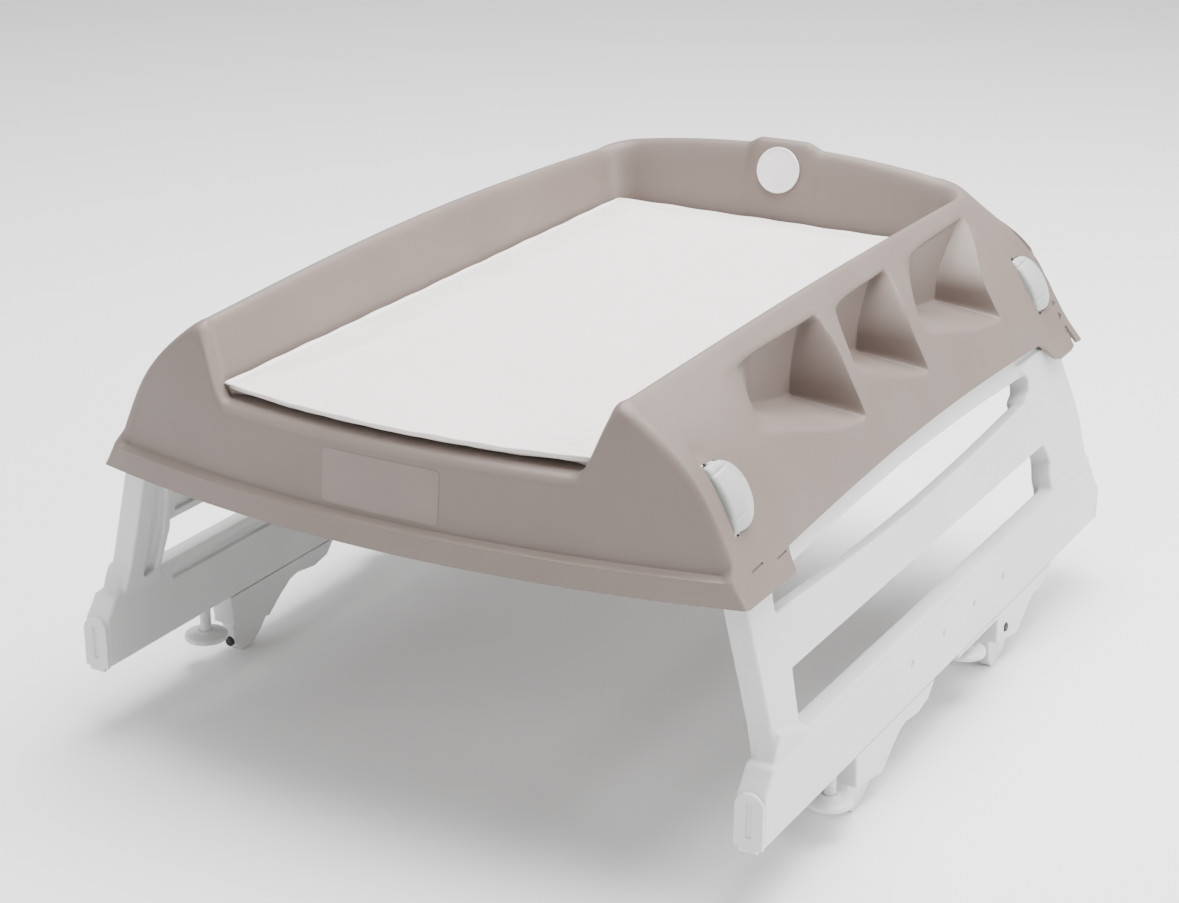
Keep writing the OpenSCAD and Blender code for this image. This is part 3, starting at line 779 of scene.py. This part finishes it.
def mat_pad():
    """Foam pad in a welded film: two covers joined at a weld round the upper edge, swelled by cloth."""
    cols, rows = 61, 121
    base_z = DECK_Z + 0.4
    inset = 3.0
    u = np.sin(np.linspace(-math.pi / 2, math.pi / 2, cols) * 0.96) / math.sin(math.pi / 2 * 0.96)
    w = 0.5 + 0.5 * np.sin(np.linspace(-math.pi / 2, math.pi / 2, rows) * 0.96) / math.sin(math.pi / 2 * 0.96)
    xs = (MAT_HW - inset) * u
    x, t = np.meshgrid(xs, w)
    y = mix(mat_front(x) + inset, MAT_REAR - inset, t)
    edge = np.minimum(MAT_HW - inset - np.abs(x), np.minimum(y - mat_front(x) - inset, MAT_REAR - inset - y))
    top = base_z + 11.5 + 4.5 * ease(0, 14, edge)
    low = base_z + 0.2 + 6 * ease(3, 0, edge)
    upper = np.stack([x, y, top], 2).reshape(-1, 3)
    lower = np.stack([x, y, low], 2).reshape(-1, 3)
    pad, border = two_skins("mat_pad", upper, lower, rows, cols)
    start = np.array([v.co for v in pad.data.vertices])
    pins = pad.vertex_groups.new(name="weld")
    pins.add(border + [rows * cols + i for i in border], 1.0, "REPLACE")
    c = pad.modifiers.new("cloth", "CLOTH")
    c.settings.quality = 6
    c.settings.mass = 0.25
    c.settings.tension_stiffness = 18
    c.settings.compression_stiffness = 12
    c.settings.bending_stiffness = 3
    c.settings.use_pressure = True
    c.settings.uniform_pressure_force = 3.2
    c.settings.vertex_group_mass = "weld"
    c.settings.effector_weights.gravity = 0
    c.point_cache.frame_start, c.point_cache.frame_end = 1, 20
    for f in range(1, 21):
        bpy.context.scene.frame_set(f)
    apply_modifiers(pad)
    bpy.context.scene.frame_set(1)
    end = np.array([v.co for v in pad.data.vertices])
    move = end - start
    far = np.linalg.norm(move, axis=1, keepdims=True)
    cap = 4.5 * MM
    move *= np.minimum(1, cap / np.maximum(far, 1e-9))
    end = start + move
    floor = RAIL_UNDER + base_z * MM
    end[:, 2] = np.maximum(end[:, 2], floor)
    pad.data.vertices.foreach_set("co", end.ravel().astype(np.float32))
    sub = pad.modifiers.new("smooth", "SUBSURF")
    sub.levels = sub.render_levels = 1
    apply_modifiers(pad)
    pad.data.polygons.foreach_set("use_smooth", [True] * len(pad.data.polygons))
    stands_for(pad, "changing_mat")
    return pad


def mat_weld():
    """The flat welded rim round the mat's upper edge, pointed at its corners."""
    path = [(x, mat_front(x)) for x in np.linspace(-MAT_HW + 1, MAT_HW - 1, 60)]
    path += [(MAT_HW - 1, y) for y in np.linspace(24, MAT_REAR - 3, 90)]
    path += [(x, MAT_REAR - 1) for x in np.linspace(MAT_HW - 3, -MAT_HW + 3, 50)]
    path += [(-MAT_HW + 1, y) for y in np.linspace(MAT_REAR - 3, 24, 90)]
    path = np.array(path)
    before, after = np.roll(path, 1, 0), np.roll(path, -1, 0)
    tangent = after - before
    tangent /= np.linalg.norm(tangent, axis=1, keepdims=True)
    out = np.column_stack([tangent[:, 1], -tangent[:, 0]])
    section = ((-6, -1.0), (-1, 0.7), (0.6, 0.75), (1.3, 0.2), (1.3, -0.6), (0.4, -0.9), (-6, -2.2))
    level = DECK_Z + 0.4 + 12.0
    wave = 0.35 * np.sin(np.arange(len(path)) * 0.9) + 0.25 * np.sin(np.arange(len(path)) * 0.37)
    points = []
    for (px, py), (ox, oy), lift in zip(path, out, wave):
        for s, h in section:
            points.append((px + ox * s, py + oy * s, level + h + lift))
    n = len(section)
    faces = []
    for i in range(len(path)):
        for j in range(n):
            a, b = i * n, ((i + 1) % len(path)) * n
            faces.append((a + j, a + (j + 1) % n, b + (j + 1) % n, b + j))
    obj = as_object("mat_weld", placed(points), faces)
    finish_piece(obj, BODY_OF["changing_mat"], "mat_cover")
    return obj


# ---------------------------------------------------------------- leg frames

RAIL_X, RAIL_L, RAIL_W = 360, 868, 28
FOLD_X, FOLD_Z = 316, 240
TILT = math.atan((RAIL_X - FOLD_X) / (FOLD_Z - 60))
BAR_S = (FOLD_Z - 60) / math.cos(TILT)


def leaning(outline, low, high, name="leaning"):
    """Prism of an outline in the splayed plane, between two offsets out of that plane."""
    c, s = math.cos(TILT), math.sin(TILT)
    a = np.array([(RAIL_X - h * s + low * c, y, 60 + h * c + low * s) for y, h in outline])
    return prism(a, ((high - low) * c, 0, (high - low) * s), name)


def upright(outline, x0, x1, name="upright"):
    return prism([(x0, y, z) for y, z in outline], (x1 - x0, 0, 0), name)


def joined(name, pieces):
    bpy.context.view_layer.update()
    verts, faces = [], []
    for p in pieces:
        base = len(verts)
        verts += [v.co.copy() for v in p.data.vertices]
        faces += [[base + i for i in f.vertices] for f in p.data.polygons]
        remove(p)
    mesh = bpy.data.meshes.new(name)
    mesh.from_pydata(verts, [], faces)
    obj = bpy.data.objects.new(name, mesh)
    bpy.context.scene.collection.objects.link(obj)
    return obj


def leg_outline():
    front = [(36, BAR_S - 17), (36, 44), (33, 22), (32, 8), (36, -4), (92, -4), (87, 24), (93, 68), (85, 112),
             (84, 134), (86, 158), (108, BAR_S - 17)]
    rear = [(812, BAR_S - 17), (813, BAR_S - 36), (816, 138), (830, 100), (838, 64), (838, -4), (729, -4),
            (728, 30), (736, 50), (726, 70), (694, 128), (712, 134), (715, 150), (692, BAR_S - 17)]
    return (filleted(front, [0, 6, 6, 4, 0, 0, 5, 5, 10, 10, 8, 0]),
            filleted(rear, [0, 0, 8, 8, 8, 0, 0, 5, 8, 8, 10, 8, 10, 0]))


def half_wave(y, start, length):
    return math.sin(math.pi * min(1, max(0, (y - start) / length)))


def brace_top(y):
    return 126 - 10 * half_wave(y, 80, 620)


def web_low(y):
    return 151 + 10 * half_wave(y, 110, 620)


def frame_body(name):
    """Union of a frame's prisms, before rounding: legs, web, brace, rail and hinge bar."""
    front, rear = leg_outline()
    web = [(y, web_low(y)) for y in np.linspace(76, 724, 40)]
    brace = [(y, brace_top(y)) for y in np.linspace(70, 750, 40)]
    pieces = [leaning(front, -12, 12), leaning(rear, -12, 12)]
    pieces.append(leaning(web + [(724, BAR_S), (76, BAR_S)], -7, 7))
    pieces.append(leaning(brace + [(750, 70), (70, 70)], -6, 11.2))
    for y0, y1 in ((39, 88), (711, 811)):
        pieces.append(leaning([(y0, BAR_S - 26), (y1, BAR_S - 26), (y1, BAR_S), (y0, BAR_S)], -7.6, 7.6))
    low = [(4, 0.3), (864, 0.3), (864, 42), (852, 52), (842, 64), (840, 71), (20, 71), (14, 62), (4, 50)]
    pieces.append(upright(filleted(low, [1, 1, 6, 6, 4, 0, 3, 8, 4]), RAIL_X - 14, RAIL_X + 14))
    high = [(26, 66), (841, 66), (838, 84), (733, 84), (722, 77), (96, 77), (88, 84), (40, 97), (32, 84)]
    pieces.append(upright(filleted(high, [0, 0, 3, 6, 6, 6, 6, 6, 3]), RAIL_X - 9.5, RAIL_X + 10.5))
    bar = [(x, 38.3, z) for x, z in circle(FOLD_X, FOLD_Z, 8, 32)]
    pieces.append(prism(bar, (0, 775.5, 0)))
    return joined(name, pieces)


def leg_frame(side_name, side):
    obj = frame_body(f"frame_moulding_{side_name}")
    m = obj.modifiers.new("join", "REMESH")
    m.mode = "VOXEL"
    m.voxel_size = 1.5 * MM
    apply_modifiers(obj)
    cutters = [prism([(RAIL_X - 10.2, 120, -2), (RAIL_X + 10.2, 120, -2), (RAIL_X + 10.2, 120, 36.3),
                      (RAIL_X - 10.2, 120, 36.3)], (0, 730, 0))]
    for y in (3, 852):
        cutters.append(prism([(352, y, 8), (368, y, 8), (368, y, 36), (352, y, 36)], (0, 13, 0)))
    for n in range(4):
        cutters.append(upright(circle(327 + 80 * n, 42, 4, 24), RAIL_X + 9, RAIL_X + 20))
    # deep channels in the inner face, behind the rounded front and rear posts
    front = filleted([(60, 20), (78, 24), (82, 66), (75, 130), (78, 158), (60, 158)], 5)
    rear = filleted([(806, 30), (746, 34), (744, 60), (722, 100), (730, 126), (742, 156), (800, 156)], 6)
    brace = [(y, brace_top(y) - 8) for y in np.linspace(104, 690, 30)]
    brace += [(700, 80), (104, 80)]
    cutters += [leaning(front, -30, -4), leaning(rear, -30, -4), leaning(filleted(brace, 3), -30, -0.5)]
    ledge = filleted([(108, 66), (716, 66), (716, 58), (108, 58)], 2)
    cutters.append(upright(ledge, RAIL_X - 20, RAIL_X - 10.5))
    for y in (35, 790):
        hole = [(x, y, z) for x, z in circle(FOLD_X, FOLD_Z, 4.1, 24)]
        cutters.append(prism(hole, (0, 31, 0)))
    cut(obj, cutters)
    soften(obj, 1.4, 4, 0.4)
    if side < 0:
        obj.data.transform(Matrix.Scale(-1, 4, (1, 0, 0)))
        obj.data.flip_normals()
    return stands_for(obj, f"leg_frame_{side_name}")


# ---------------------------------------------------------------- hooks, feet and small parts


def rounded_copy(node, name, voxel, passes, keep=0.4):
    obj = copy_of(node, name)
    soften(obj, voxel, passes, keep)
    return stands_for(obj, node)


FOOT_Y = {"front": 172, "rear": 500}
FOOT_Z = {"front": -38, "rear": -22}


def foot_disc(end, side_name, side):
    at = Matrix.Translation(Vector(placed([(side * RAIL_X, FOOT_Y[end], FOOT_Z[end])])[0]))
    profile = [(15, 0), (21, 0), (22.4, 0.5), (23, 1.8), (23, 4.4), (22.3, 5.8), (20.6, 6.6), (13, 7.4),
               (10.6, 8.2), (9.6, 9.4), (8.6, 9.9), (6.2, 9.9), (6.1, 8.0)]
    obj = lathe(f"{end}_foot_pad_{side_name}", profile, 96, at)
    return stands_for(obj, f"{end}_foot_disc_{side_name}")


def foot_screw(end, side_name, side):
    """Threaded stem: a helical ridge on a round shank."""
    rows, cols, pitch = 150, 40, 2.6
    heights = np.linspace(0.2, 43.8, rows)
    angles = np.linspace(0, 2 * math.pi, cols, endpoint=False)
    h, a = np.meshgrid(heights, angles, indexing="ij")
    phase = (h / pitch - side * a / (2 * math.pi)) % 1
    ridge = ease(0.1, 0.4, phase) * ease(0.9, 0.6, phase)
    r = 5.15 + 0.8 * ridge * ease(1, 4, h) * ease(43.6, 41, h)
    points = np.stack([r * np.cos(a), r * np.sin(a), h], 2).reshape(-1, 3)
    faces = grid_faces(rows, cols, True)
    faces += [tuple(range(cols)), tuple(range(len(points) - 1, len(points) - 1 - cols, -1))]
    points = points + np.array([side * RAIL_X, FOOT_Y[end], FOOT_Z[end] + 3])
    obj = as_object(f"{end}_foot_thread_{side_name}", placed(points), faces)
    return stands_for(obj, f"{end}_foot_stem_{side_name}")


def hinge_pin(end, side_name, side):
    lo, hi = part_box(f"{end}_hinge_pin_{side_name}")
    length = (hi.y - lo.y) / MM
    mid = (lo + hi) / 2
    at = Matrix.Translation((mid.x, lo.y, mid.z)) @ Matrix.Rotation(-math.pi / 2, 4, "X")
    profile = [(3.2, 0), (4, 0.8), (4, 2.2), (3.5, 2.5), (3.5, 3.5), (4, 3.8), (4, length - 0.8),
               (3.2, length)]
    obj = lathe(f"{end}_pivot_{side_name}", profile, 48, at)
    return stands_for(obj, f"{end}_hinge_pin_{side_name}")


def rubber_stud(end, side_name, side):
    node = f"{end}_stud_{side_name}"
    lo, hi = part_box(node)
    mid = (lo + hi) / 2
    if end == "front":
        at = Matrix.Translation((mid.x, lo.y, mid.z)) @ Matrix.Rotation(-math.pi / 2, 4, "X")
        profile = [(2.2, 0.25), (3.6, 0), (4.8, 0.4), (5.5, 1.3), (5.5, 3.2), (5.1, 3.8), (4, 4), (4, 11.6),
                   (3.5, 12)]
    else:
        outer = hi.x if side > 0 else lo.x
        turn = Matrix.Rotation(-side * math.pi / 2, 4, "Y")
        at = Matrix.Translation((outer, mid.y, mid.z)) @ turn
        profile = [(2.4, 0.3), (3.8, 0), (4.6, 0.5), (5, 1.4), (5, 12), (4.5, 12.6)]
    return stands_for(lathe(f"{end}_rest_{side_name}", profile, 48, at), node)


BADGE_LEAN = math.radians(77.6)


def badge():
    lo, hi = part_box("badge_disc")
    at = (Matrix.Translation((lo + hi) / 2) @ Matrix.Rotation(BADGE_LEAN, 4, "X")
          @ Matrix.Translation((0, 0, -1.5 * MM)))
    profile = [(25.4, 0), (26, 0.6), (26, 2.2), (25.6, 2.8), (24.9, 3), (24.1, 2.9), (23.7, 2.5),
               (23.2, 2.45), (18, 2.75), (10, 2.95), (3, 3.0)]
    return stands_for(lathe("badge_medallion", profile, 128, at), "badge_disc")


LABEL_X, LABEL_Z, LABEL_CORNER, FILM_T = (-64, 60), (245, 295), 4.0, 0.45


def label():
    """Blank film on the front wall: follows its bow and its slight lean."""
    cols, rows = 48, 20
    x, z = np.meshgrid(np.linspace(*LABEL_X, cols), np.linspace(*LABEL_Z, rows))
    depth = np.minimum(z - LABEL_Z[0], LABEL_Z[1] - z)
    inset = LABEL_CORNER - np.sqrt(np.maximum(0, LABEL_CORNER ** 2 - (LABEL_CORNER - depth) ** 2))
    pull = np.where(depth < LABEL_CORNER, inset, 0)
    x = np.clip(x, LABEL_X[0] + pull, LABEL_X[1] - pull)
    y = face_y(np.abs(x), z)
    front = np.stack([x, y - FILM_T, z], 2).reshape(-1, 3)
    back = np.stack([x, y + 0.2, z], 2).reshape(-1, 3)
    obj, _ = two_skins("label_film", front, back, rows, cols)
    shade_by_angle(obj, 40)
    return stands_for(obj, "info_label")


def screw_heads():
    """Pan heads with cross recesses, one for each of the lattice's screws."""
    pieces = []
    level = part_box("rib_screws")[0].z
    for x in (-168, 0, 168):
        for y in (62, 738):
            centre = placed([(x, y, 0)])[0]
            at = Matrix.Translation((centre[0], centre[1], level + 2 * MM)) @ Matrix.Rotation(math.pi, 4, "X")
            head = lathe("head", [(4, 0), (4, 0.7), (3.7, 1.3), (3.0, 1.8), (1.5, 2.05), (0.4, 2.1)], 40, at)
            arms = []
            for a, b in ((2.3, 0.45), (0.45, 2.3)):
                cross = [(x - a, y - b, 270), (x + a, y - b, 270), (x + a, y + b, 270), (x - a, y + b, 270)]
                arms.append(prism(cross, (0, 0, 11.8)))
            pieces.append(cut(head, arms))
    obj = joined("rib_screw_heads", pieces)
    shade_by_angle(obj, 35)
    return stands_for(obj, "rib_screws")


tray_moulding()
mat_pad()
mat_weld()
badge()
label()
screw_heads()
edged("deck_ribs", "rib_lattice", 0.9)
for name, sign in SIDES:
    leg_frame(name, sign)
    for place in ENDS:
        release_button(place, name, sign)
        coil_spring(place, name, sign)
        hinge_pin(place, name, sign)
        rubber_stud(place, name, sign)
        edged(f"{place}_bracket_{name}", f"{place}_corner_bracket_{name}", 0.8)
        rounded_copy(f"{place}_hook_{name}", f"{place}_hook_moulding_{name}", 0.9, 4)
        rounded_copy(f"{place}_cap_{name}", f"{place}_rail_cap_{name}", 0.45, 3)
        foot_disc(place, name, sign)
        foot_screw(place, name, sign)

# ---------------------------------------------------------------- floor, light and camera


def studio():
    m, tree, s = new_material("studio floor")
    s.inputs["Base Color"].default_value = (0.95, 0.95, 0.95, 1)
    s.inputs["Roughness"].default_value = 0.7
    bpy.ops.mesh.primitive_plane_add(size=30, location=(0, 0, -0.0005))
    floor = bpy.context.object
    floor.name = "studio_floor"
    floor.data.materials.append(m)
    world = bpy.data.worlds.new("studio")
    bpy.context.scene.world = world
    world.use_nodes = True
    world.node_tree.nodes["Background"].inputs["Color"].default_value = (1, 1, 1, 1)
    world.node_tree.nodes["Background"].inputs["Strength"].default_value = 0.62
    for name, place, size, power in (("key", (3.3, 0.1, 1.9), 2.0, 95), ("top", (0.3, 0.6, 3.1), 3.0, 330),
                                     ("fill", (-2.4, -2.6, 1.6), 2.0, 35)):
        data = bpy.data.lights.new(name, "AREA")
        data.size = size
        data.energy = power
        lamp = bpy.data.objects.new(name, data)
        lamp.location = place
        lamp.rotation_euler = (Vector((0, 0, 0.25)) - Vector(place)).to_track_quat("-Z", "Y").to_euler()
        bpy.context.scene.collection.objects.link(lamp)


def camera():
    data = bpy.data.cameras.new("camera")
    data.lens = 76.0
    data.sensor_width = 36
    obj = bpy.data.objects.new("camera", data)
    obj.location = (1.172, -2.118, 1.155)
    obj.rotation_euler = (math.radians(90 - 20.969), 0, math.radians(29.687))
    bpy.context.scene.collection.objects.link(obj)
    bpy.context.scene.camera = obj


studio()
camera()
